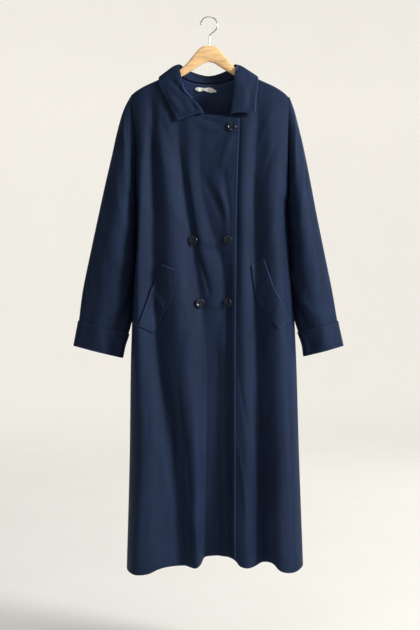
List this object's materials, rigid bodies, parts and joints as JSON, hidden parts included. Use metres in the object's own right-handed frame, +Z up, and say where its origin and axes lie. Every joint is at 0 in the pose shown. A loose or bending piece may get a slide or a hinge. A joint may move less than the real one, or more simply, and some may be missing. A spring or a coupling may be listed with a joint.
{
  "type": "double-breasted trench coat on a wooden hanger",
  "caption": "Long double-breasted coat with a turned-down collar, turned-up cuffs and slanted pocket flaps, hung buttoned on a wooden hanger with a wire hook.",
  "frame": {"origin": "inside of the hook's top, where a rail or nail carries the hanger", "axes": "+Z up, +Y away from someone who faces the coat's front, +X to that person's right, which is the wearer's left"},
  "size_m": [0.6772, 0.1768, 1.3764],
  "materials": {
    "gabardine": "fine twill cotton gabardine, navy, soft sheen",
    "button": "polished dark navy sew-through buttons",
    "hanger_wood": "clear-varnished beech",
    "hook_wire": "bright plated wire",
    "label_tape": "bare woven off-white tape"
  },
  "bodies": {
    "root": {"hook": "hook_wire", "hanger": "hanger_wood", "front_right": "gabardine", "front_left": "gabardine", "back": "gabardine", "sleeve_right": "gabardine", "sleeve_left": "gabardine", "cuff_right": "gabardine", "cuff_left": "gabardine", "collar": "gabardine", "pocket_flap_right": "gabardine", "pocket_flap_left": "gabardine", "button_collar": "button", "button_chest_right": "button", "button_chest_left": "button", "button_waist_right": "button", "button_waist_left": "button", "neck_label": "label_tape"}
  },
  "joints": []
}
